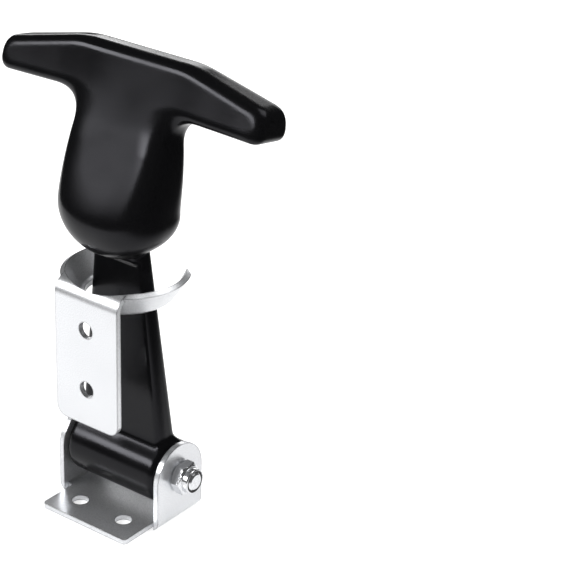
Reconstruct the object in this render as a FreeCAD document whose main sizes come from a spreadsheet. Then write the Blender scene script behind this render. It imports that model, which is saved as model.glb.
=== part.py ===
"""Rubber T draw latch: a moulded rubber handle on a folded pivot bracket, with its dished keeper.

X is the pivot axis (nut at +X), -Y is the front (base lip and keeper plate), Z is up.
The origin lies on the underside of the base plate, straight below the middle of the pivot.
"""
import FreeCAD, Part
import math
import os

V = FreeCAD.Vector
doc = FreeCAD.newDocument("RubberDrawLatch")

# Driving dimensions in millimetres and degrees
SIZES = [
    ("gauge", 1.5, "sheet thickness of both brackets"),
    ("bendInside", 1.0, "inside radius of the ears' bends"),
    ("bracketWidth", 34.5, "outside distance over the two ears"),
    ("earDepth", 18.0, "ear and base depth, front to back"),
    ("pivotHeight", 13.5, "pivot centre above the underside"),
    ("lipReach", 10.0, "lip in front of the ears"),
    ("lipWidth", 29.0, "lip width"),
    ("lipCorner", 1.2, "rounding of the lip's front corners"),
    ("notchWidth", 1.2, "relief notch width"),
    ("notchDepth", 1.6, "relief notches beside the lip, behind the ears' front edge"),
    ("lipHoleSpacing", 15.2, "distance between the two lip holes"),
    ("lipHoleSetback", 7.4, "lip holes behind the lip's front edge"),
    ("fixingHole", 4.5, "fixing holes in both brackets"),
    ("screwSize", 5.0, "pivot screw diameter"),
    ("screwClearance", 0.05, "radial clearance of the screw in ears, barrel and nut"),
    ("headDiameter", 8.6, "screw head diameter"),
    ("headHeight", 3.3, "screw head height"),
    ("headRounding", 1.1, "rounding of the screw head's rim"),
    ("recessSpan", 4.4, "cross recess, tip to tip"),
    ("recessSlot", 1.0, "cross recess, slot width"),
    ("recessDepth", 1.9, "cross recess depth"),
    ("screwProud", 0.3, "screw end past the nut"),
    ("screwPoint", 0.5, "chamfer on the screw end"),
    ("nutFlats", 8.0, "nut width across flats"),
    ("nutHexHeight", 3.4, "height of the hexagonal part"),
    ("nutHeight", 5.2, "whole height with the collar"),
    ("nutChamfer", 0.35, "depth of the chamfer on the nut's faces"),
    ("collarDiameter", 6.9, "collar outside diameter"),
    ("collarWall", 0.45, "collar wall"),
    ("insertDepth", 1.7, "depth of the nylon ring"),
    ("insertRecess", 0.15, "nylon ring below the collar's mouth"),
    ("barrelDiameter", 17.6, "barrel diameter"),
    ("barrelGap", 0.6, "gap between each barrel end and its ear"),
    ("barrelRounding", 1.8, "rounding of the barrel's ends"),
    ("strapWidthLow", 30.0, "strap width at the pivot"),
    ("strapWidthTop", 17.0, "strap width at the bulb"),
    ("strapThickLow", 6.6, "strap thickness at the pivot"),
    ("strapThickTop", 4.2, "strap thickness at the bulb"),
    ("strapForwardLow", 0.4, "strap middle in front of the pivot, at the pivot"),
    ("strapForwardTop", 2.4, "strap middle in front of the pivot, at the bulb"),
    ("strapEdge", 0.9, "rounding of the strap's long edges"),
    ("bulbHeight", 86.7, "height of the bulb's widest level"),
    ("bulbDrop", 11.4, "bulb's widest level down to its bottom"),
    ("bulbWidth", 32.8, "bulb width"),
    ("bulbFront", 15.0, "bulb's front in front of the pivot"),
    ("bulbBack", 7.6, "bulb's back behind the pivot"),
    ("bulbForward", 5.0, "bottom of the bulb forward of its middle"),
    ("bulbSquareness", 2.5, "plan shape of the bulb, 2 is an ellipse"),
    ("bulbRoundness", 2.05, "side shape of the bulb's lower half, 2 is an ellipse"),
    ("neckHeight", 112.0, "height of the neck's narrowest level"),
    ("neckWidth", 30.2, "neck width"),
    ("neckFront", 4.7, "neck's front in front of the pivot, before the facet"),
    ("neckBack", 8.3, "neck's back behind the pivot"),
    ("neckInside", 4.0, "neck reaching up inside the grip"),
    ("neckNarrowing", 1.0, "neck narrower at its end inside the grip, each side"),
    ("neckSquareness", 2.8, "plan shape of the neck, 2 is an ellipse"),
    ("facetFront", 3.5, "front facet in front of the pivot, at the neck's narrowest level"),
    ("facetLean", 24.75, "front facet leaning forward towards the bulb, degrees"),
    ("gripHeight", 112.8, "height of the grip's underside, mid depth"),
    ("gripBack", 3.7, "middle of the grip's underside behind the pivot"),
    ("gripLean", 10.0, "grip leaning back, degrees"),
    ("gripSpan", 84.4, "grip, tip to tip"),
    ("gripRise", 13.2, "grip, underside to top"),
    ("gripFlat", 35.0, "width of the flat on top"),
    ("gripEnd", 7.6, "top of the end faces above the underside"),
    ("gripDroop", 0.7, "wing tips' underside below the middle of the underside"),
    ("gripThickLow", 12.2, "grip thickness at the underside"),
    ("gripThickTop", 8.6, "grip thickness at the top"),
    ("gripRounding", 2.4, "rounding of the grip's edges"),
    ("gripEndRounding", 2.9, "rounding of the wing tips' corners, seen from the front"),
    ("gripTopRounding", 4.0, "rounding between the flat on top and its slopes"),
    ("wingFillet", 7.0, "fillet between wing and neck"),
    ("rootInset", 1.4, "grip's root inside the neck, each side"),
    ("rootReach", 2.0, "grip's root running down past the wing's fillet"),
    ("rootFront", 3.5, "grip's root at its foot, in front of the grip's middle"),
    ("rootBack", 0.5, "grip's root at its foot, behind the grip's middle"),
    ("rootTop", 1.0, "top of the root's sloping faces below the grip's underside"),
    ("rimRadius", 15.5, "inside radius of the keeper's dish at its rim"),
    ("rimRise", 7.8, "rim of the dish above its underside, the keeper's datum level"),
    ("wallSlope", 56.0, "slope of the dish's wall, degrees"),
    ("footRounding", 3.0, "outside rounding between the dish's wall and its bottom"),
    ("slotRadius", 10.63, "radius of the keeper's slot"),
    ("mouthSetback", 1.9, "ends of the arms behind the slot's centre at the datum level"),
    ("mouthSlope", 45.0, "slope of the arms' cut ends, degrees"),
    ("plateWidth", 20.8, "keeper plate width"),
    ("plateReach", 15.55, "plate's front in front of the slot's centre"),
    ("plateDrop", 31.7, "plate's lower edge below the datum level"),
    ("plateCorner", 3.0, "rounding of the plate's lower corners"),
    ("foldRadius", 4.8, "outside radius of the fold between plate and dish"),
    ("plateHoleDrop", 4.2, "upper plate hole below the datum level"),
    ("plateHoleSpacing", 17.0, "distance between the two plate holes"),
    ("seatOffset", 3.2, "slot's centre behind the strap's front face"),
    ("strapClearance", 0.15, "clearance between the slot and the strap's corners"),
    ("overrun", 1.0, "overrun of a cutting shape past the face it cuts"),
]

sheet = doc.addObject("Spreadsheet::Sheet", "Sizes")
for row, (alias, value, meaning) in enumerate(SIZES, start=1):
    sheet.set("A%d" % row, meaning)
    sheet.set("B%d" % row, str(value))
    sheet.setAlias("B%d" % row, alias)
doc.recompute()


def size(alias):
    """The value of one named size."""
    return float(getattr(sheet, alias))


def bind(thing, **expressions):
    """Bind properties of an object to expressions of the sheet; two underscores stand for a dot."""
    for prop, expression in expressions.items():
        thing.setExpression(prop.replace("__", "."), expression)
    return thing


def box(name, length, width, height, x, y, z):
    """A box with its lower corner at x, y, z."""
    solid = doc.addObject("Part::Box", name)
    bind(solid, Length=length, Width=width, Height=height)
    return bind(solid, Placement__Base__x=x, Placement__Base__y=y, Placement__Base__z=z)


def cylinder(name, radius, height, axis, x, y, z):
    """A cylinder whose axis runs from x, y, z towards +X, +Y or +Z."""
    solid = doc.addObject("Part::Cylinder", name)
    turns = {"X": (V(0, 1, 0), 90), "Y": (V(1, 0, 0), -90), "Z": (V(0, 0, 1), 0)}
    solid.Placement = FreeCAD.Placement(V(0, 0, 0), FreeCAD.Rotation(*turns[axis]))
    bind(solid, Radius=radius, Height=height)
    return bind(solid, Placement__Base__x=x, Placement__Base__y=y, Placement__Base__z=z)


def fuse(name, *shapes):
    """The union of several objects."""
    union = doc.addObject("Part::MultiFuse", name)
    union.Shapes = list(shapes)
    union.Refine = True
    return union


def common(name, *shapes):
    """What several objects have in common."""
    shared = doc.addObject("Part::MultiCommon", name)
    shared.Shapes = list(shapes)
    return shared


def cut(name, base, *tools):
    """A base without its tools."""
    tool = tools[0] if len(tools) == 1 else fuse(name + "Tools", *tools)
    rest = doc.addObject("Part::Cut", name)
    rest.Base = base
    rest.Tool = tool
    rest.Refine = True
    return rest


def finished_body(label, base):
    """A body that starts from a built shape and takes fillets and chamfers."""
    body = doc.addObject("PartDesign::Body", label + "_body")
    body.Label = label
    body.BaseFeature = base
    doc.recompute()
    return body


def edges_where(shape, test):
    """Names of a shape's edges whose bounding box passes a test."""
    return ["Edge%d" % (i + 1) for i, edge in enumerate(shape.Edges) if test(edge, edge.BoundBox)]


def dress(body, kind, name, expression, test):
    """A fillet or chamfer on the edges of a body's tip that pass a test."""
    base = body.Tip
    names = edges_where(base.Shape, test)
    if not names:
        raise RuntimeError("no edges for " + name)
    feature = body.newObject("PartDesign::" + kind, name)
    feature.Base = (base, names)
    bind(feature, **{"Radius" if kind == "Fillet" else "Size": expression})
    body.Tip = feature
    doc.recompute()
    return feature


def near(a, b, tolerance=0.02):
    return abs(a - b) < tolerance


# Folded pivot bracket: a plate with a lip, two ears with round tops and a pivot hole through both
def make_pivot_bracket():
    wide, deep, high = "Sizes.bracketWidth", "Sizes.earDepth", "Sizes.pivotHeight"
    block = box("earBlock", wide, deep, high, "-%s / 2" % wide, "-%s / 2" % deep, "0")
    tops = cylinder("earTops", deep + " / 2", wide, "X", "-%s / 2" % wide, "0", high)
    inside = box("earSpace", wide + " - 2 * Sizes.gauge", deep + " + 2 * Sizes.overrun", deep + " + " + high,
                 "-%s / 2 + Sizes.gauge" % wide, "-%s / 2 - Sizes.overrun" % deep, "Sizes.gauge")
    channel = cut("channel", fuse("earSolid", block, tops), inside)
    bent = finished_body("channel_bends", channel)
    side, floor = size("bracketWidth") / 2, size("gauge")

    def bottom_edge(edge, b, x, z):
        return near(abs(b.XMin), x) and near(b.XMin, b.XMax) and near(b.ZMin, z) and near(b.ZMax, z)

    dress(bent, "Fillet", "innerBends", "Sizes.bendInside",
          lambda e, b: bottom_edge(e, b, side - floor, floor))
    dress(bent, "Fillet", "outerBends", "Sizes.bendInside + Sizes.gauge",
          lambda e, b: bottom_edge(e, b, side, 0))
    lip = box("lipPlate", "Sizes.lipWidth", "Sizes.lipReach + Sizes.notchDepth + Sizes.overrun", "Sizes.gauge",
              "-Sizes.lipWidth / 2", "-Sizes.earDepth / 2 - Sizes.lipReach", "0")
    notches = []
    for name, x in (("notchLeft", "-Sizes.lipWidth / 2 - Sizes.notchWidth"),
                    ("notchRight", "Sizes.lipWidth / 2")):
        notches.append(box(name, "Sizes.notchWidth", "Sizes.notchDepth + Sizes.overrun",
                           "Sizes.gauge + 2 * Sizes.overrun",
                           x, "-Sizes.earDepth / 2 - Sizes.overrun", "-Sizes.overrun"))
    tools = list(notches)
    for name, sign in (("lipHoleLeft", "-"), ("lipHoleRight", "")):
        tools.append(cylinder(name, "Sizes.fixingHole / 2", "Sizes.gauge + 2 * Sizes.overrun", "Z",
                              sign + "Sizes.lipHoleSpacing / 2",
                              "-Sizes.earDepth / 2 - Sizes.lipReach + Sizes.lipHoleSetback", "-Sizes.overrun"))
    tools.append(cylinder("earHoles", "Sizes.screwSize / 2 + Sizes.screwClearance",
                          wide + " + 2 * Sizes.overrun", "X", "-%s / 2 - Sizes.overrun" % wide, "0", high))
    body = finished_body("pivot_bracket", cut("bracketBlank", fuse("bracketSolid", bent, lip), *tools))
    front = size("earDepth") / 2 + size("lipReach")
    dress(body, "Fillet", "lipCorners", "Sizes.lipCorner",
          lambda e, b: near(b.YMin, -front) and near(b.YMax, -front) and near(b.ZLength, floor))
    return body


def smooth_polygon(points, radii):
    """A closed face in the plane of its points, each corner rounded by its radius."""
    edges, ends = [], []
    count = len(points)
    for i, corner in enumerate(points):
        before = (points[i - 1] - corner).normalize()
        after = (points[(i + 1) % count] - corner).normalize()
        half = before.getAngle(after) / 2
        reach = radii[i] / math.tan(half)
        bisector = (before + after).normalize()
        middle = corner + bisector * (radii[i] / math.sin(half) - radii[i])
        ends.append((corner + before * reach, middle, corner + after * reach))
    for i, (start, middle, end) in enumerate(ends):
        if radii[i] > 0:
            edges.append(Part.Arc(start, middle, end).toShape())
        edges.append(Part.LineSegment(end, ends[(i + 1) % count][0]).toShape())
    return Part.Face(Part.Wire(edges))


# Dished keeper: a bowl with a sloping wall, open at the back, whose front turns over into a plate
def bowl_turn(outline, radii):
    """A solid turned about the Z axis from an outline of (radius, height) points with rounded corners."""
    return smooth_polygon([V(r, 0, z) for r, z in outline], radii).revolve(V(0, 0, 0), V(0, 0, 1), 360)


def make_keeper():
    rim, rise, gauge, foot = size("rimRadius"), size("rimRise"), size("gauge"), size("footRounding")
    slope, hub = math.radians(size("wallSlope")), size("slotRadius") / 2
    edge = (rim + gauge * math.sin(slope), rise - gauge * math.cos(slope))
    outside = (edge[0] - edge[1] / math.tan(slope), 0)
    inside = (rim - (rise - gauge) / math.tan(slope), gauge)
    above = (rim + gauge, rise + gauge * math.tan(slope))
    bowl = doc.addObject("Part::Feature", "bowl")
    bowl.Shape = bowl_turn([(hub, 0), outside, edge, (rim, rise), inside, (hub, gauge)],
                           [0, foot, 0, 0, foot - gauge, 0])
    hollow_bowl = doc.addObject("Part::Feature", "bowlInside")
    hollow_bowl.Shape = bowl_turn([(0, gauge), inside, above, (0, above[1])], [0, foot - gauge, 0, 0])
    reach = "(Sizes.rimRadius + 2 * Sizes.gauge)"
    behind = doc.addObject("Part::Box", "behindArms")
    bind(behind, Length="4 * " + reach, Width="3 * " + reach, Height="6 * " + reach)
    behind.Placement = FreeCAD.Placement(V(0, 0, 0), FreeCAD.Rotation(V(-1, 0, 0), 45))
    bind(behind, Placement__Rotation__Angle="Sizes.mouthSlope", Placement__Base__x="-2 * " + reach,
         Placement__Base__y="Sizes.mouthSetback - 2 * %s * sin(Sizes.mouthSlope)" % reach,
         Placement__Base__z="-2 * %s * cos(Sizes.mouthSlope)" % reach)

    left, wide, bend = "-Sizes.plateWidth / 2", "Sizes.plateWidth", "Sizes.foldRadius"
    middle_y = "(%s - Sizes.plateReach)" % bend
    middle_z = "(Sizes.rimRise - %s)" % bend
    plate = box("plateSheet", wide, "Sizes.gauge", "Sizes.plateDrop + " + middle_z,
                left, "-Sizes.plateReach", "-Sizes.plateDrop")
    quarter = box("foldSpace", wide, bend, bend, left, "-Sizes.plateReach", middle_z)
    roll = common("foldRoll", quarter, cylinder("foldOutside", bend, wide, "X", left, middle_y, middle_z))
    hollow = cylinder("foldInside", bend + " - Sizes.gauge", wide, "X", left, middle_y, middle_z)
    ledge = box("foldLedge", wide, "Sizes.gauge", "Sizes.gauge", left, middle_y, "Sizes.rimRise - Sizes.gauge")
    ahead = box("aheadOfFold", wide, bend + " + 2 * Sizes.gauge", "2 * " + reach,
                left, "-Sizes.plateReach - 2 * Sizes.gauge", middle_z)
    below = box("aheadOfPlate", wide, reach, "2 * " + reach, left, "-Sizes.plateReach - " + reach, "-" + reach)
    spare = cut("spareRim", ahead, roll)
    dish = cut("dish", bowl, behind, spare, below)
    slot = cylinder("slot", "Sizes.slotRadius", "3 * " + reach, "Z", "0", "0", "-" + reach)
    tools = [hollow_bowl, slot]
    for name, drop in (("plateHoleUpper", "Sizes.plateHoleDrop"),
                       ("plateHoleLower", "(Sizes.plateHoleDrop + Sizes.plateHoleSpacing)")):
        tools.append(cylinder(name, "Sizes.fixingHole / 2", "Sizes.gauge + 2 * Sizes.overrun", "Y", "0",
                              "-Sizes.plateReach - Sizes.overrun", "-" + drop))
    solid = fuse("keeperSolid", dish, plate, cut("fold", roll, hollow), ledge)
    body = finished_body("keeper_bracket", cut("keeperBlank", solid, *tools))
    lower = -size("plateDrop")
    dress(body, "Fillet", "plateCorners", "Sizes.plateCorner",
          lambda e, b: near(b.ZMin, lower) and near(b.ZMax, lower) and near(b.YLength, gauge))
    # The slot rests where the tapered strap's corners have grown to its radius
    half_here = "sqrt((Sizes.slotRadius - Sizes.strapClearance)^2 - Sizes.seatOffset^2)"
    taper = "((Sizes.strapWidthLow - Sizes.strapWidthTop) / 2)"
    share = "((Sizes.strapWidthLow / 2 - %s) / %s)" % (half_here, taper)
    run = "(Sizes.bulbHeight - Sizes.bulbDrop - Sizes.pivotHeight)"
    low = "(Sizes.strapForwardLow + Sizes.strapThickLow / 2)"
    top = "(Sizes.strapForwardTop + Sizes.strapThickTop / 2)"
    bind(body, Placement__Base__z="Sizes.pivotHeight + %s * %s" % (run, share),
         Placement__Base__y="Sizes.seatOffset - %s - (%s - %s) * %s" % (low, top, low, share))
    return body


def rounded_section(z, half_width, front, back, corner):
    """A closed wire at height z: a rectangle from -half_width to half_width and -front to back, rounded."""
    x, y0, y1, r = half_width, -front, back, corner
    d = r * (1 - math.sqrt(0.5))
    runs = [(V(-x + r, y0, z), V(x - r, y0, z)), (V(x, y0 + r, z), V(x, y1 - r, z)),
            (V(x - r, y1, z), V(-x + r, y1, z)), (V(-x, y1 - r, z), V(-x, y0 + r, z))]
    turns = [V(x - d, y0 + d, z), V(x - d, y1 - d, z), V(-x + d, y1 - d, z), V(-x + d, y0 + d, z)]
    edges = []
    for i, (start, end) in enumerate(runs):
        edges.append(Part.LineSegment(start, end).toShape())
        edges.append(Part.Arc(end, turns[i], runs[(i + 1) % 4][0]).toShape())
    return Part.Wire(edges)


# T grip: its front outline and its tapered side outline, both run through, keep what they share
def grip_shape():
    span, flat, rise, end = size("gripSpan") / 2, size("gripFlat") / 2, size("gripRise"), size("gripEnd")
    neck, fillet, rounding = size("neckWidth") / 2 - size("rootInset"), size("wingFillet"), size("gripRounding")
    root = fillet + size("rootReach")
    right = [V(flat, 0, rise), V(span, 0, end), V(span, 0, -size("gripDroop")), V(neck, 0, 0), V(neck, 0, -root)]
    left = [V(-p.x, 0, p.z) for p in reversed(right)]
    tip = size("gripEndRounding")
    turns = [size("gripTopRounding"), tip, tip, fillet, 0]
    outline = smooth_polygon(right + left, turns + turns[::-1])
    deep = 3 * size("gripThickLow")
    outline.translate(V(0, -deep / 2, 0))
    front_run = outline.extrude(V(0, deep, 0))
    low, top = size("gripThickLow") / 2, size("gripThickTop") / 2
    below = low + (low - top) / rise * root
    solid = front_run.common(side_run(span, [(-below, -root), (below, -root), (top, rise), (-top, rise)]))
    edges = [e for e in solid.Edges if e.BoundBox.ZMax > -root + 0.01]
    rounded = solid.makeFillet(rounding, edges)
    ahead, behind, start = -size("rootFront"), size("rootBack"), -size("rootTop")
    return rounded.common(side_run(span, [(ahead, -root), (behind, -root), (low, start), (2 * low, rise),
                                          (-2 * low, rise), (-low, start)]))


def side_run(half_length, outline):
    """A solid along X from a side outline of (depth, height) points."""
    start = -half_length - size("overrun")
    points = [V(start, y, z) for y, z in outline]
    return Part.Face(Part.makePolygon(points + points[:1])).extrude(V(-2 * start, 0, 0))


def oval_section(z, half_width, front, back, squareness):
    """A closed smooth wire at height z: a superellipse, rounder for 2 and squarer above it."""
    middle, depth = (back - front) / 2, (back + front) / 2
    points = []
    for i in range(20):
        turn = 2 * math.pi * i / 20
        across, along = math.cos(turn), math.sin(turn)
        points.append(V(half_width * math.copysign(abs(across) ** (2 / squareness), across),
                        middle + depth * math.copysign(abs(along) ** (2 / squareness), along), z))
    curve = Part.BSplineCurve()
    curve.interpolate(points, PeriodicFlag=True)
    return Part.Wire(curve.toShape())


# Bulb and neck: oval plan sections run up from the ball's bottom into the grip, cut by a flat front facet
def bulb_shape():
    level, drop = size("bulbHeight"), size("bulbDrop")
    square, bend = size("bulbSquareness"), size("bulbRoundness")
    width, front, back = size("bulbWidth") / 2, size("bulbFront"), size("bulbBack")
    middle, depth = (back - front) / 2, (back + front) / 2
    sections = []
    # Shares of the full width, from the bottom up
    for share in (0.30, 0.62, 0.86, 0.98):
        fall = drop * (1 - share ** bend) ** (1 / bend)
        here = middle - size("bulbForward") * (1 - share)
        sections.append(oval_section(level - fall, width * share, depth * share - here,
                                     depth * share + here, square))
    top, neck = size("neckHeight"), size("neckWidth") / 2
    # Shares of the way from the widest level to the neck
    for share in (0.2, 0.5, 0.8, 1.0):
        sections.append(oval_section(level + (top - level) * share,
                                     width + (neck - width) * share,
                                     front + (size("neckFront") - front) * share,
                                     back + (size("neckBack") - back) * share,
                                     square + (size("neckSquareness") - square) * share))
    inside = size("neckInside")
    sections.append(oval_section(top + inside, neck - size("neckNarrowing"), 0, size("neckBack"),
                                 size("neckSquareness")))
    body = Part.makeLoft(sections, True, False)
    slope = math.tan(math.radians(size("facetLean")))
    reach = 2 * (top - level)
    past = inside + size("overrun")
    facet = [(-size("facetFront") - slope * below, top - below) for below in (-past, reach)]
    ahead = [(-3 * front, top - reach), (-3 * front, top + past)]
    return body.cut(side_run(width, facet + ahead))


# Strap: a tapered rectangle with softened edges from the pivot to inside the bulb
def strap_shape():
    foot, top = size("pivotHeight"), size("bulbHeight") - size("bulbDrop")
    inside = size("bulbDrop") / 2
    sections = []
    for z in (foot, top + inside):
        share = (z - foot) / (top - foot)
        wide = size("strapWidthLow") + (size("strapWidthTop") - size("strapWidthLow")) * share
        thick = size("strapThickLow") + (size("strapThickTop") - size("strapThickLow")) * share
        forward = size("strapForwardLow") + (size("strapForwardTop") - size("strapForwardLow")) * share
        sections.append(rounded_section(z, wide / 2, forward + thick / 2, thick / 2 - forward, size("strapEdge")))
    return Part.makeLoft(sections, True, True)


# Barrel: a cylinder with rounded ends between the ears
def barrel_shape():
    length = size("bracketWidth") - 2 * size("gauge") - 2 * size("barrelGap")
    barrel = Part.makeCylinder(size("barrelDiameter") / 2, length, V(-length / 2, 0, size("pivotHeight")), V(1, 0, 0))
    rims = [e for e in barrel.Edges if e.BoundBox.XLength < 0.01]
    return barrel.makeFillet(size("barrelRounding"), rims)


def make_handle():
    grip = doc.addObject("Part::Feature", "grip")
    grip.Shape = grip_shape()
    grip.Placement = FreeCAD.Placement(V(0, 0, 0), FreeCAD.Rotation(V(-1, 0, 0), 10))
    bind(grip, Placement__Rotation__Angle="Sizes.gripLean", Placement__Base__y="Sizes.gripBack",
         Placement__Base__z="Sizes.gripHeight")
    pieces = [grip]
    for name, make in (("bulb", bulb_shape), ("strap", strap_shape), ("barrel", barrel_shape)):
        piece = doc.addObject("Part::Feature", name)
        piece.Shape = make()
        pieces.append(piece)
    bore = cylinder("bore", "Sizes.screwSize / 2 + Sizes.screwClearance", "Sizes.bracketWidth", "X",
                    "-Sizes.bracketWidth / 2", "0", "Sizes.pivotHeight")
    handle = cut("moulding", fuse("mouldingSolid", *pieces), bore)
    handle.Label = "rubber_handle"
    return handle


# Pivot screw: a shank through both ears, a head against the left ear and a cross recess
def make_screw():
    outside = "Sizes.bracketWidth / 2"
    long = "Sizes.bracketWidth + Sizes.nutHeight + Sizes.screwProud"
    shank = cylinder("shank", "Sizes.screwSize / 2", long, "X", "-" + outside, "0", "Sizes.pivotHeight")
    head = cylinder("head", "Sizes.headDiameter / 2", "Sizes.headHeight", "X",
                    "-%s - Sizes.headHeight" % outside, "0", "Sizes.pivotHeight")
    face = "-%s - Sizes.headHeight" % outside
    slots = [box("recessUpright", "Sizes.recessDepth", "Sizes.recessSlot", "Sizes.recessSpan", face,
                 "-Sizes.recessSlot / 2", "Sizes.pivotHeight - Sizes.recessSpan / 2"),
             box("recessLevel", "Sizes.recessDepth", "Sizes.recessSpan", "Sizes.recessSlot", face,
                 "-Sizes.recessSpan / 2", "Sizes.pivotHeight - Sizes.recessSlot / 2")]
    body = finished_body("pivot_screw", cut("screwBlank", fuse("screwSolid", shank, head), *slots))
    crown = -size("bracketWidth") / 2 - size("headHeight")
    tip = size("bracketWidth") / 2 + size("nutHeight") + size("screwProud")
    dress(body, "Fillet", "headRim", "Sizes.headRounding",
          lambda e, b: near(b.XMin, crown) and near(b.XMax, crown) and near(b.ZLength, size("headDiameter")))
    dress(body, "Chamfer", "screwEnd", "Sizes.screwPoint",
          lambda e, b: near(b.XMin, tip) and near(b.XMax, tip) and b.ZLength > 1)
    return body


# Locking nut: a chamfered hexagon, a thin collar and a recess for the nylon ring
def make_nut():
    prism = doc.addObject("Part::Prism", "nutHexagon")
    prism.Polygon = 6
    prism.Placement = FreeCAD.Placement(V(0, 0, 0), FreeCAD.Rotation(V(0, 1, 0), 90))
    bind(prism, Circumradius="Sizes.nutFlats / sqrt(3)", Height="Sizes.nutHexHeight",
         Placement__Base__x="Sizes.bracketWidth / 2", Placement__Base__z="Sizes.pivotHeight")
    cone = doc.addObject("Part::Cone", "nutChamfer")
    cone.Placement = FreeCAD.Placement(V(0, 0, 0), FreeCAD.Rotation(V(0, 1, 0), 90))
    bind(cone, Radius1="Sizes.nutFlats / sqrt(3) + Sizes.nutHexHeight - Sizes.nutChamfer",
         Radius2="Sizes.nutFlats / sqrt(3) - Sizes.nutChamfer", Height="Sizes.nutHexHeight",
         Placement__Base__x="Sizes.bracketWidth / 2", Placement__Base__z="Sizes.pivotHeight")
    collar = cylinder("collar", "Sizes.collarDiameter / 2", "Sizes.nutHeight", "X", "Sizes.bracketWidth / 2", "0",
                      "Sizes.pivotHeight")
    thread = cylinder("nutBore", "Sizes.screwSize / 2 + Sizes.screwClearance",
                      "Sizes.nutHeight + 2 * Sizes.overrun", "X",
                      "Sizes.bracketWidth / 2 - Sizes.overrun", "0", "Sizes.pivotHeight")
    recess = cylinder("insertSeat", "Sizes.collarDiameter / 2 - Sizes.collarWall", "Sizes.nutHeight", "X",
                      "Sizes.bracketWidth / 2 + Sizes.nutHeight - Sizes.insertRecess - Sizes.insertDepth", "0",
                      "Sizes.pivotHeight")
    nut = cut("nutSolid", fuse("nutOuter", common("nutHex", prism, cone), collar), thread, recess)
    nut.Label = "lock_nut"
    return nut


def make_insert():
    x = "Sizes.bracketWidth / 2 + Sizes.nutHeight - Sizes.insertRecess - Sizes.insertDepth"
    ring = cylinder("insertRing", "Sizes.collarDiameter / 2 - Sizes.collarWall", "Sizes.insertDepth", "X", x, "0",
                    "Sizes.pivotHeight")
    bore = cylinder("insertBore", "Sizes.screwSize / 2 + Sizes.screwClearance",
                    "Sizes.insertDepth + 2 * Sizes.overrun", "X",
                    x + " - Sizes.overrun", "0", "Sizes.pivotHeight")
    insert = cut("insertSolid", ring, bore)
    insert.Label = "nylon_insert"
    return insert


nodes = [make_handle(), make_pivot_bracket(), make_keeper(), make_screw(), make_nut(), make_insert()]
doc.recompute()
for thing in doc.Objects:
    if "Invalid" in thing.State or "Error" in thing.State:
        raise RuntimeError("%s failed: %s" % (thing.Label, thing.State))
os.makedirs("parts", exist_ok=True)
for node in nodes:
    shape = node.Shape
    if shape.isNull() or not shape.isValid() or len(shape.Solids) != 1:
        raise RuntimeError("%s has a bad shape: %d solids" % (node.Label, len(shape.Solids)))
    shape.exportStep("parts/%s.step" % node.Label)
    print("%-16s %8.1f mm3  %s" % (node.Label, shape.Volume, shape.BoundBox))
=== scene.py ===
"""Looks of a rubber T draw latch: the moulded handle, the two sheet brackets and the pivot hardware.

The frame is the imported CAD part: X is the pivot axis, -Y is the front, Z is up, all in metres.
Each section below makes one piece: its sizes, its mesh, its finish and the body that it rides on.
"""
import bmesh
import bpy
import math
import numpy as np
from mathutils import Matrix, Vector


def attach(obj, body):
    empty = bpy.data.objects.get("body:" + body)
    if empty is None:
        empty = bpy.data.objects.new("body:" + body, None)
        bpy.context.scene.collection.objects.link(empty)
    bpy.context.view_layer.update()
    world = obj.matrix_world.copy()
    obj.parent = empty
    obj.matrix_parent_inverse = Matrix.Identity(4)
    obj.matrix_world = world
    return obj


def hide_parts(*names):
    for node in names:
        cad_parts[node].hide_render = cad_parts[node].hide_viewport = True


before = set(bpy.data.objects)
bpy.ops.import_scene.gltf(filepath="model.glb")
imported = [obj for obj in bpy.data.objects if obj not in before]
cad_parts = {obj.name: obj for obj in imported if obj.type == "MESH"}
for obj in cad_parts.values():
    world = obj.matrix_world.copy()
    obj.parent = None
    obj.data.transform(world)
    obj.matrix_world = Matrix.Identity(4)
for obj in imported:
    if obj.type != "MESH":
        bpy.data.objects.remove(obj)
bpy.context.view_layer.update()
scene = bpy.context.scene

# Camera: a long lens in front, to the right and above, as the photograph was taken.
# It looks past the latch, which stands left of the middle of the picture.
camera_data = bpy.data.cameras.new("camera")
camera_data.sensor_width = 36.0
camera_data.lens = 122.99
camera_data.clip_start = 0.01
camera = bpy.data.objects.new("camera", camera_data)
camera_place = (0.29907, -0.34078, 0.28652)
camera_right = Vector((0.79866, 0.60105, 0.02971))
camera_up = Vector((-0.28695, 0.33697, 0.89672))
camera_back = Vector((0.52896, -0.72470, 0.44160))
camera_turn = Matrix((camera_right, camera_up, camera_back)).transposed()
camera.matrix_world = Matrix.Translation(camera_place) @ camera_turn.to_4x4()
scene.collection.objects.link(camera)
scene.camera = camera
scene.view_settings.view_transform = "Standard"


# Studio: a pale floor that keeps the latch's shadow, an even pale surround and soft lamps.
# Reflections see a dim room round a small white card under the latch, as a black part is photographed.
def shader_node(tree, kind, place, **values):
    """A node with its settings and its unlinked inputs filled in; in1 is the input with that number."""
    node = tree.nodes.new(kind)
    node.location = place
    for name, value in values.items():
        key = name.replace("_", " ")
        if hasattr(node, name):
            setattr(node, name, value)
        elif name[:2] == "in":
            node.inputs[int(name[2:])].default_value = value
        else:
            node.inputs[key].default_value = value
    return node


def link_all(tree, links):
    """Links made in a node tree, each from a node's output to a node's input."""
    for source, given, target, taken in links:
        tree.links.new(source.outputs[given], target.inputs[taken])


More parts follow.
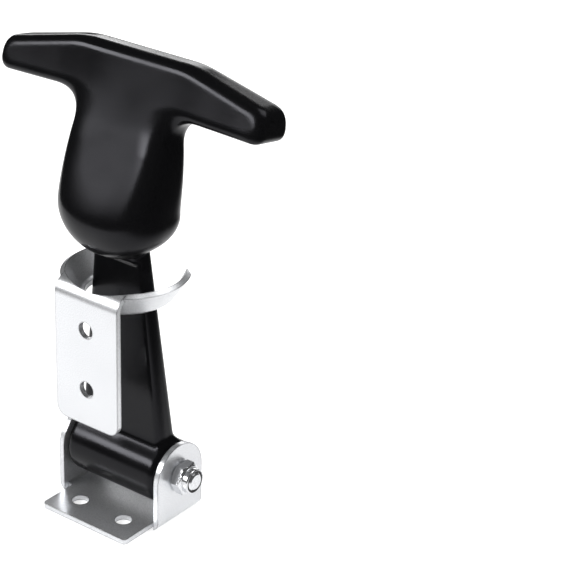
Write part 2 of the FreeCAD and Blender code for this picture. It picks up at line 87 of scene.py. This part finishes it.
def soft_lamp(name, place, width, height, power, mirrored=True):
    """A rectangular soft lamp that faces the latch's middle, with or without its own reflection."""
    data = bpy.data.lights.new(name, "AREA")
    data.shape = "RECTANGLE"
    data.size, data.size_y = width, height
    data.energy = power
    lamp = bpy.data.objects.new(name, data)
    latch_middle = Vector((0, 0, 0.08))
    aim = (latch_middle - Vector(place)).to_track_quat("-Z", "Y")
    lamp.matrix_world = Matrix.Translation(place) @ aim.to_matrix().to_4x4()
    lamp.visible_glossy = mirrored
    scene.collection.objects.link(lamp)


surround_seen, surround_light, surround_mirrored = 1.0, 0.45, 0.03
world = bpy.data.worlds.new("surround")
scene.world = world
world.use_nodes = True
tree = world.node_tree
tree.nodes.clear()
path = shader_node(tree, "ShaderNodeLightPath", (-900, 0))
shown = shader_node(tree, "ShaderNodeMath", (-700, 0), operation="MAXIMUM")
dimmed = shader_node(tree, "ShaderNodeMath", (-500, -150), operation="MULTIPLY_ADD",
                     in1=surround_mirrored - surround_light, in2=surround_light)
strength = shader_node(tree, "ShaderNodeMath", (-300, 0), operation="MULTIPLY_ADD",
                       in1=surround_seen - surround_light)
background = shader_node(tree, "ShaderNodeBackground", (-100, 0), Color=(1, 1, 1, 1))
output = shader_node(tree, "ShaderNodeOutputWorld", (100, 0))
link_all(tree, (
    (path, "Is Camera Ray", shown, 0),
    (path, "Is Transmission Ray", shown, 1),
    (path, "Is Glossy Ray", dimmed, 0),
    (shown, 0, strength, 0),
    (dimmed, 0, strength, 2),
    (strength, 0, background, "Strength"),
    (background, 0, output, "Surface"),
))

soft_lamp("lamp_front_left", (-0.55, -0.75, 0.54), width=0.60, height=0.28, power=7.3)
soft_lamp("lamp_back_left", (-0.52, 0.80, 0.26), width=0.80, height=0.18, power=1.6)
soft_lamp("lamp_above", (0.26, 0.30, 0.88), width=0.6, height=0.6, power=3.4)
soft_lamp("lamp_front", (0.35, -0.9, 0.35), width=0.5, height=0.4, power=1.8, mirrored=False)
soft_lamp("lamp_right", (0.9, 0.1, 0.3), width=0.35, height=0.5, power=2.0, mirrored=False)

reach = 3.0
floor_corners = [(-reach, -reach, 0), (reach, -reach, 0), (reach, reach, 0), (-reach, reach, 0)]
floor_mesh = bpy.data.meshes.new("floor")
floor_mesh.from_pydata(floor_corners, [], [(0, 1, 2, 3)])
floor = bpy.data.objects.new("floor", floor_mesh)
scene.collection.objects.link(floor)
floor_finish = bpy.data.materials.new("pale_floor")
floor_finish.use_nodes = True
tree = floor_finish.node_tree
tree.nodes.clear()
path = shader_node(tree, "ShaderNodeLightPath", (-1100, 300))
place = shader_node(tree, "ShaderNodeTexCoord", (-1100, -200))
card_centre, card_radius, card_faded = (-0.14, 0.0, 0.0), 0.19, 0.29
away = shader_node(tree, "ShaderNodeVectorMath", (-900, -200), operation="DISTANCE", in1=card_centre)
past_card = shader_node(tree, "ShaderNodeMapRange", (-700, -200), interpolation_type="SMOOTHSTEP",
                        From_Min=card_radius, From_Max=card_faded)
hidden = shader_node(tree, "ShaderNodeMath", (-500, -200), operation="MULTIPLY")
direct = shader_node(tree, "ShaderNodeMath", (-500, 300), operation="MAXIMUM")
plain = shader_node(tree, "ShaderNodeBsdfDiffuse", (-500, 0), Color=(0.8, 0.8, 0.8, 1))
lift = shader_node(tree, "ShaderNodeEmission", (-500, 130), Color=(1, 1, 1, 1))
lift_seen, lift_mirrored = 0.60, 0.38
lift_here = shader_node(tree, "ShaderNodeMath", (-700, 130), operation="MULTIPLY_ADD",
                        in1=lift_seen - lift_mirrored, in2=lift_mirrored)
room = shader_node(tree, "ShaderNodeBsdfDiffuse", (-300, -200), Color=(0.03, 0.03, 0.03, 1))
bright = shader_node(tree, "ShaderNodeAddShader", (-300, 100))
seen = shader_node(tree, "ShaderNodeMixShader", (-100, 0))
mix = shader_node(tree, "ShaderNodeMixShader", (100, 0))
output = shader_node(tree, "ShaderNodeOutputMaterial", (300, 0))
link_all(tree, (
    (place, "Object", away, 0),
    (away, "Value", past_card, "Value"),
    (past_card, "Result", hidden, 0),
    (path, "Is Glossy Ray", hidden, 1),
    (path, "Is Camera Ray", direct, 0),
    (path, "Is Glossy Ray", direct, 1),
    (path, "Is Camera Ray", lift_here, 0),
    (lift_here, 0, lift, "Strength"),
    (plain, 0, bright, 0),
    (lift, 0, bright, 1),
    (hidden, 0, seen, 0),
    (bright, 0, seen, 1),
    (room, 0, seen, 2),
    (direct, 0, mix, 0),
    (plain, 0, mix, 1),
    (seen, 0, mix, 2),
    (mix, 0, output, "Surface"),
))
floor_mesh.materials.append(floor_finish)


# Rubber handle: one moulding in black rubber, a T grip on a ball with a flat front, on a tapered
# strap with a barrel at its foot. Its forms are formulas in millimetres, joined with soft edges.
MM = 0.001
PIVOT_HEIGHT = 13.5
BORE = 2.6


def soft_max(a, b, width):
    """What two forms share, with the edge between them rounded over a width."""
    near = np.maximum(width - np.abs(a - b), 0.0) / width
    return np.maximum(a, b) + near * near * width / 4


def soft_min(a, b, width):
    """Two forms joined, with a fillet of a width between them."""
    return -soft_max(-a, -b, width)


def between(start, end, share):
    """A value that is a share of the way from a start to an end."""
    return start + (end - start) * share


def barrel_form(x, y, z):
    """The barrel round the pivot, with its bore; below zero is inside, as in every form here."""
    radius, half_length, end_rounding = 8.8, 15.15, 2.1
    from_axis = np.hypot(y, z - PIVOT_HEIGHT)
    solid = soft_max(from_axis - radius, np.abs(x) - half_length, end_rounding)
    return np.maximum(solid, BORE - from_axis)


def strap_form(x, y, z):
    """The strap, narrower and thinner towards the ball, with a collar where it enters the ball."""
    foot, top = PIVOT_HEIGHT, 75.3
    share = (z - foot) / (top - foot)
    half_width = between(15.0, 8.5, share)
    half_thick = between(3.3, 2.1, share)
    forward = between(0.4, 2.4, share)
    corner, hidden_foot, hidden_top = 2.4, 2.0, 4.0
    section = soft_max(np.abs(x) - half_width, np.abs(y + forward) - half_thick, corner)
    strap = np.maximum(section, np.maximum(foot + hidden_foot - z, z - top - hidden_top))
    collar_half_width, collar_half_thick, collar_half_height, collar_forward = 7.6, 2.6, 2.8, 3.0
    collar_corner, collar_rounding, collar_fillet = 2.0, 1.8, 0.6
    collar = soft_max(np.abs(x) - collar_half_width, np.abs(y + collar_forward) - collar_half_thick,
                      collar_corner)
    collar = soft_max(collar, np.abs(z - top) - collar_half_height, collar_rounding)
    return soft_min(strap, collar, collar_fillet)


def ball_form(x, y, z):
    """The ball and the neck above it: an oval plan that narrows upwards, closed below like a bowl."""
    level, drop, neck_level, top_level = 86.7, 11.4, 112.0, 117.0
    start_easing, last_share = 0.1, 1.1
    squareness, bowl_squareness, bowl_shift, side_bulge = 2.5, 2.05, 5.0, 4.2
    share = (z - level) / (neck_level - level)
    above = np.sqrt(np.maximum(share, 0.0) ** 2 + start_easing ** 2) - start_easing
    above = np.minimum(above, last_share)
    under = np.maximum(-share * (neck_level - level) / drop, 0.0)
    bowl = (1 - np.minimum(under, 1.0) ** bowl_squareness) ** (1 / bowl_squareness)
    front = between(15.0, 4.7, above)
    back = between(7.6, 8.3, above)
    half_width = between(16.4, 13.9, above) + side_bulge * above * (1 - above)
    centre = (back - front) / 2 - bowl_shift * (1 - bowl)
    half_depth = (back + front) / 2
    out, fore = np.abs(x / half_width), np.abs((y - centre) / half_depth)
    plan = (out ** squareness + fore ** squareness) ** (1 / squareness)
    whole = (plan ** bowl_squareness + under ** bowl_squareness) ** (1 / bowl_squareness)
    typical_radius = 12.0
    return np.maximum((whole - 1) * typical_radius, z - top_level)


def grip_form(x, y, z):
    """The T grip behind its front face: a flat top, sloping shoulders, blunt ends and a sloping back."""
    lean, back_place, base_level = math.radians(10.0), 3.7, 112.8
    height, flat_end, grip_end, end_height = 13.2, 17.5, 42.2, 7.6
    droop, droop_start = 0.025, 13.7
    depth, back_taper = 6.1, math.atan2(1.8, height)
    shoulder_rounding, end_rounding, back_rounding = 0.8, 3.4, 2.9
    behind = (y - back_place) * math.cos(lean) - (z - base_level) * math.sin(lean)
    rise = (y - back_place) * math.sin(lean) + (z - base_level) * math.cos(lean)
    out = np.abs(x)
    slope = math.atan2(height - end_height, grip_end - flat_end)
    shoulder = (out - flat_end) * math.sin(slope) + (rise - height) * math.cos(slope)
    underside = -rise - droop * (out - droop_start)
    upper = soft_max(rise - height, shoulder, shoulder_rounding)
    lower = soft_max(underside, out - grip_end, end_rounding)
    outline = soft_max(upper, lower, end_rounding)
    back = (behind - depth) * math.cos(back_taper) + rise * math.sin(back_taper)
    return soft_max(outline, back, back_rounding)


def front_faces(y, z):
    """Distance in front of the grip's front face and, below it, of the ball's slightly hollow flat."""
    grip_lean, grip_front, grip_level = math.radians(17.77), 2.31, 113.86
    flat_lean, flat_front, flat_level = math.radians(24.75), 3.5, 112.0
    hollow_bend, hollow_end, fold_fillet = 0.0009, 34.0, 1.0
    grip = (-y - grip_front + math.tan(grip_lean) * (z - grip_level)) * math.cos(grip_lean)
    down = flat_level - z
    hollow = hollow_bend * down * (hollow_end - down)
    flat = (-y - flat_front - math.tan(flat_lean) * down + hollow) * math.cos(flat_lean)
    return soft_min(grip, flat, fold_fillet)


def handle_form(x, y, z):
    """The whole moulding, with the pivot's bore cut last."""
    neck_fillet, foot_fillet, ball_fillet = 8.0, 2.5, 1.5
    flat_rounding, extra_rounding, extra_start, extra_span = 1.5, 1.4, 104.0, 10.0
    head = soft_min(ball_form(x, y, z), grip_form(x, y, z), neck_fillet)
    rounding = np.clip((z - extra_start) / extra_span, 0.0, 1.0) * extra_rounding + flat_rounding
    head = soft_max(head, front_faces(y, z), rounding)
    tail = soft_min(strap_form(x, y, z), barrel_form(x, y, z), foot_fillet)
    return np.maximum(soft_min(head, tail, ball_fillet), BORE - np.hypot(y, z - PIVOT_HEIGHT))


def moulded_mesh(name, form, low, high, cell):
    """A closed quad mesh of a form's zero surface, between two corners, in cells of one size.

    Each cell that the surface crosses gets one point, which is then moved on to the surface.
    """
    axes = [np.arange(a, b + cell, cell) for a, b in zip(low, high)]
    grid = form(*np.meshgrid(*axes, indexing="ij"))
    inside = grid < 0
    count = [n - 1 for n in inside.shape]
    corners = [(a, b, c) for a in (0, 1) for b in (0, 1) for c in (0, 1)]
    filled = np.zeros(count, np.int8)
    for a, b, c in corners:
        filled += inside[a:a + count[0], b:b + count[1], c:c + count[2]]
    i, j, k = np.nonzero((filled > 0) & (filled < 8))
    index = np.full(count, -1, np.int64)
    index[i, j, k] = np.arange(len(i))
    place = np.zeros((len(i), 3))
    crossings = np.zeros(len(i))
    for start in corners:
        for axis in range(3):
            if start[axis]:
                continue
            end = [start[n] + (n == axis) for n in range(3)]
            first = grid[i + start[0], j + start[1], k + start[2]]
            last = grid[i + end[0], j + end[1], k + end[2]]
            crossed = (first < 0) != (last < 0)
            along = np.where(crossed, first / np.where(crossed, first - last, 1), 0)
            for n in range(3):
                place[:, n] += crossed * (start[n] + (along if n == axis else 0))
            crossings += crossed
    place = place / crossings[:, None] + np.stack([i, j, k], 1)
    points = place * cell + np.array([axis[0] for axis in axes])
    faces = []
    for axis in range(3):
        one, two = (axis + 1) % 3, (axis + 2) % 3
        first = np.take(inside, range(count[axis]), axis)
        last = np.take(inside, range(1, count[axis] + 1), axis)
        for sign, turned in ((first & ~last, False), (last & ~first, True)):
            cells = np.stack(np.nonzero(sign), 1)
            ring = []
            for du, dv in ((-1, -1), (0, -1), (0, 0), (-1, 0)):
                step = np.zeros(3, int)
                step[one], step[two] = du, dv
                ring.append(index[tuple((cells + step).T)])
            faces.append(np.stack(ring[::-1] if turned else ring, 1))
    probe, least_slope, longest_step = 0.02, 0.05, 0.3
    for _ in range(4):
        steps = [form(*(points + d).T) - form(*(points - d).T) for d in np.eye(3) * probe]
        slope = np.stack(steps, 1) / (2 * probe)
        move = form(*points.T) / np.maximum((slope ** 2).sum(1), least_slope)
        points -= np.clip(move, -longest_step, longest_step)[:, None] * slope
    mesh = bpy.data.meshes.new(name)
    mesh.from_pydata((points * MM).tolist(), [], np.concatenate(faces).tolist())
    mesh.shade_smooth()
    return mesh


cell = 0.5
low_corner, high_corner = (-43.1, -17.1, 3.9), (43.1, 11.9, 127.9)
handle_mesh = moulded_mesh("handle_moulding", handle_form, low_corner, high_corner, cell)
handle = bpy.data.objects.new("handle_moulding", handle_mesh)
scene.collection.objects.link(handle)

grain = bpy.data.node_groups.new("surface_grain", "ShaderNodeTree")
for socket in ("Grains per metre", "Depth", "Edge width"):
    grain.interface.new_socket(socket, in_out="INPUT", socket_type="NodeSocketFloat")
for socket in ("Mask", "Edge", "Patches"):
    grain.interface.new_socket(socket, in_out="OUTPUT", socket_type="NodeSocketFloat")
grain.interface.new_socket("Normal", in_out="OUTPUT", socket_type="NodeSocketVector")
given = shader_node(grain, "NodeGroupInput", (-700, -100))
place = shader_node(grain, "ShaderNodeTexCoord", (-700, 150))
fine = shader_node(grain, "ShaderNodeTexNoise", (-450, 0), Detail=2.0, Roughness=0.6)
broad = shader_node(grain, "ShaderNodeTexNoise", (-450, 300), Scale=70.0, Detail=1.0, Roughness=0.4)
dents = shader_node(grain, "ShaderNodeBump", (-200, -150), Strength=1.0)
# Edge mask: where the bevelled normal leaves the face's own normal; it places the painted edge shade.
eased = shader_node(grain, "ShaderNodeBevel", (-450, -400))
true_face = shader_node(grain, "ShaderNodeNewGeometry", (-450, -600))
bend = shader_node(grain, "ShaderNodeVectorMath", (-200, -450), operation="DOT_PRODUCT")
edge = shader_node(grain, "ShaderNodeMapRange", (-50, -450), From_Min=0.998, From_Max=0.93)
result = shader_node(grain, "NodeGroupOutput", (150, 0))
link_all(grain, (
    (given, "Edge width", eased, "Radius"),
    (eased, "Normal", bend, 0),
    (true_face, "Normal", bend, 1),
    (bend, "Value", edge, "Value"),
    (edge, "Result", result, "Edge"),
    (place, "Object", fine, "Vector"),
    (place, "Object", broad, "Vector"),
    (given, "Grains per metre", fine, "Scale"),
    (given, "Depth", dents, "Distance"),
    (fine, "Fac", dents, "Height"),
    (fine, "Fac", result, "Mask"),
    (broad, "Fac", result, "Patches"),
    (dents, "Normal", result, "Normal"),
))


def grained_material(name, grains, depth, dark, light, smooth, rough, metallic, specular=0.5,
                     edge=0.0, sheen=(1, 1, 1)):
    """A material whose colour varies with a fine grain and whose roughness varies in broad patches.

    Its edges can carry painted shade: a darker colour over a width, for the dark lines that shiny rounded
    edges show.
    """
    material = bpy.data.materials.new(name)
    material.use_nodes = True
    tree = material.node_tree
    shader = tree.nodes["Principled BSDF"]
    shader.inputs["Metallic"].default_value = metallic
    shader.inputs["Specular IOR Level"].default_value = specular
    shader.inputs["Specular Tint"].default_value = (*sheen, 1)
    grained = shader_node(tree, "ShaderNodeGroup", (-700, 0), node_tree=grain, Grains_per_metre=grains,
                          Depth=depth, Edge_width=edge)
    grain_range = {"From_Min": 0.3, "From_Max": 0.7}
    spread = shader_node(tree, "ShaderNodeMapRange", (-500, 150), **grain_range)
    gloss = shader_node(tree, "ShaderNodeMapRange", (-350, -100), To_Min=smooth, To_Max=rough,
                        **grain_range)
    colour = shader_node(tree, "ShaderNodeMix", (-350, 150), data_type="RGBA", A=(*dark, 1), B=(*light, 1))
    link_all(tree, (
        (grained, "Mask", spread, "Value"),
        (spread, "Result", colour, "Factor"),
        (grained, "Patches", gloss, "Value"),
        (gloss, "Result", shader, "Roughness"),
        (grained, "Normal", shader, "Normal"),
    ))
    # Painted shade on the edges: a dark zinc colour mixed in over the edge mask.
    if edge:
        painted_edge_shade = (0.25, 0.25, 0.26, 1)
        edge_shade_mix = shader_node(tree, "ShaderNodeMix", (-150, 250), data_type="RGBA", B=painted_edge_shade)
        link_all(tree, ((colour, "Result", edge_shade_mix, "A"), (grained, "Edge", edge_shade_mix, "Factor")))
        colour = edge_shade_mix
    link_all(tree, ((colour, "Result", shader, "Base Color"),))
    return material


rubber = grained_material("black_rubber", grains=2600.0, depth=0.012 * MM, dark=(0.0025, 0.0025, 0.0028),
                          light=(0.0045, 0.0045, 0.005), smooth=0.17, rough=0.255, metallic=0.0,
                          specular=0.18, sheen=(0.91, 0.91, 1.0))
handle.data.materials.append(rubber)
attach(handle, "handle")
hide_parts("rubber_handle")


# Pivot bracket: 1.5 mm steel sheet, blanked, folded up into two round-topped ears and zinc plated.
# Its front edge runs on as a lip with two screw holes; a relief notch lies beside each fold.
# Its edges carry painted shade 0.55 mm wide, for the dark lines on its rounded edges.
zinc = grained_material("zinc_plated_sheet", grains=3600.0, depth=0.018 * MM, dark=(0.62, 0.63, 0.65),
                        light=(0.85, 0.86, 0.88), smooth=0.285, rough=0.37, metallic=0.82,
                        edge=0.55 * MM)


def eased_copy(node, name, edge, finish):
    """A copy of a CAD node's mesh with its doubles merged, its edges eased and its flats kept flat."""
    same_place, same_plane, sharp_turn = 0.001 * MM, math.radians(0.4), math.radians(35)
    made = bmesh.new()
    made.from_mesh(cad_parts[node].data)
    bmesh.ops.remove_doubles(made, verts=made.verts, dist=same_place)
    bmesh.ops.dissolve_limit(made, angle_limit=same_plane, verts=made.verts, edges=made.edges)
    sharp = [e for e in made.edges if e.is_manifold and e.calc_face_angle(0) > sharp_turn]
    bmesh.ops.bevel(made, geom=sharp, offset=edge, segments=2, profile=0.5, affect="EDGES",
                    clamp_overlap=True)
    made.normal_update()
    normals = []
    for corner in made.verts:
        sum_here = Vector()
        for face in corner.link_faces:
            sum_here += face.normal * face.calc_area()
        normals.append(sum_here.normalized())
    mesh = bpy.data.meshes.new(name)
    made.to_mesh(mesh)
    made.free()
    mesh.shade_smooth()
    mesh.normals_split_custom_set_from_vertices(normals)
    mesh.materials.append(finish)
    piece = bpy.data.objects.new(name, mesh)
    scene.collection.objects.link(piece)
    return piece


sheet_edge = 0.22 * MM
bracket = eased_copy("pivot_bracket", "pivot_bracket_sheet", sheet_edge, zinc)
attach(bracket, "bracket")
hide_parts("pivot_bracket")


# Keeper: the same plated sheet, drawn into a dish with an open mouth behind, its front folded
# down into a flat plate with two screw holes. It hangs round the strap under the ball.
keeper = eased_copy("keeper_bracket", "keeper_sheet", sheet_edge, zinc)
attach(keeper, "handle")
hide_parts("keeper_bracket")


# Pivot screw: a plated 5 mm steel machine screw with a rounded cheese head and a cross recess.
# Its shank passes both ears and the barrel and ends just outside the nut.
# Its edges carry painted shade 0.12 mm wide.
bright_zinc = grained_material("zinc_plated_fastener", grains=4200.0, depth=0.012 * MM,
                               dark=(0.62, 0.63, 0.65), light=(0.84, 0.85, 0.87), smooth=0.18,
                               rough=0.26, metallic=0.92, edge=0.12 * MM)
screw_edge = 0.10 * MM
screw = eased_copy("pivot_screw", "screw", screw_edge, bright_zinc)
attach(screw, "bracket")
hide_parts("pivot_screw")


# Locking nut: a plated steel hexagon, chamfered on both faces, with a thin collar whose rim is rolled
# in over the nylon ring. It is turned from bar, so every part of it but the flats is round.
def turned_nut(name, start, flats, outline):
    """A mesh round the pivot axis: the outline is (along, radius) points, cut to the hexagon outside."""
    steps = 120
    points, faces = [], []
    for along, radius in outline:
        for step in range(steps):
            turn = math.tau * step / steps
            from_flat = (turn + math.pi / 6) % (math.pi / 3) - math.pi / 6
            here = min(radius, flats / 2 / math.cos(from_flat))
            points.append(((start + along) * MM, here * math.sin(turn) * MM,
                           (PIVOT_HEIGHT + here * math.cos(turn)) * MM))
    rows = len(outline)
    for row in range(rows):
        for step in range(steps):
            a, b = row * steps + step, row * steps + (step + 1) % steps
            c, d = (row + 1) % rows * steps + (step + 1) % steps, (row + 1) % rows * steps + step
            faces.append((a, d, c, b))
    mesh = bpy.data.meshes.new(name)
    mesh.from_pydata(points, [], faces)
    return mesh


# From the thread the outline runs over the near chamfer, along the corners, over the far chamfer to
# the collar, round its rolled rim and back in.
thread, corner, collar, collar_inside = 2.55, 4.62, 3.45, 2.96
nut_outline = [(0.0, thread), (0.0, 3.5), (0.12, 3.7), (0.3, 4.0), (0.45, 4.3), (0.6, corner)]
nut_outline += [(along, corner) for along in (1.0, 1.7, 2.4, 2.85)]
nut_outline += [(3.0, 4.3), (3.15, 4.0), (3.3, 3.8), (3.4, 3.62), (3.42, 3.5), (3.5, collar)]
nut_outline += [(4.6, collar), (4.85, 3.42), (5.02, 3.33), (5.12, 3.2), (5.15, 3.08), (5.1, 2.99)]
nut_outline += [(5.0, collar_inside), (3.4, collar_inside), (3.35, thread)]
nut_mesh = turned_nut("nut", start=17.25, flats=8.0, outline=nut_outline)
nut = bpy.data.objects.new("nut", nut_mesh)
scene.collection.objects.link(nut)
nut_mesh.shade_smooth()
nut_mesh.set_sharp_from_angle(angle=math.radians(24))
nut_mesh.materials.append(bright_zinc)
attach(nut, "bracket")
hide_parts("lock_nut")


# Nylon ring: a nylon washer pressed into the nut's collar, whose bore grips the thread.
# Only its end face shows; it is coloured near black, which makes the dark ring between the collar's rim
# and the screw's end.
nylon = grained_material("nylon_ring_near_black", grains=3000.0, depth=0.006 * MM, dark=(0.006, 0.006, 0.007),
                         light=(0.012, 0.012, 0.013), smooth=0.40, rough=0.55, metallic=0.0,
                         specular=0.3)
ring_edge = 0.06 * MM
ring = eased_copy("nylon_insert", "nylon_ring", ring_edge, nylon)
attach(ring, "bracket")
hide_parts("nylon_insert")
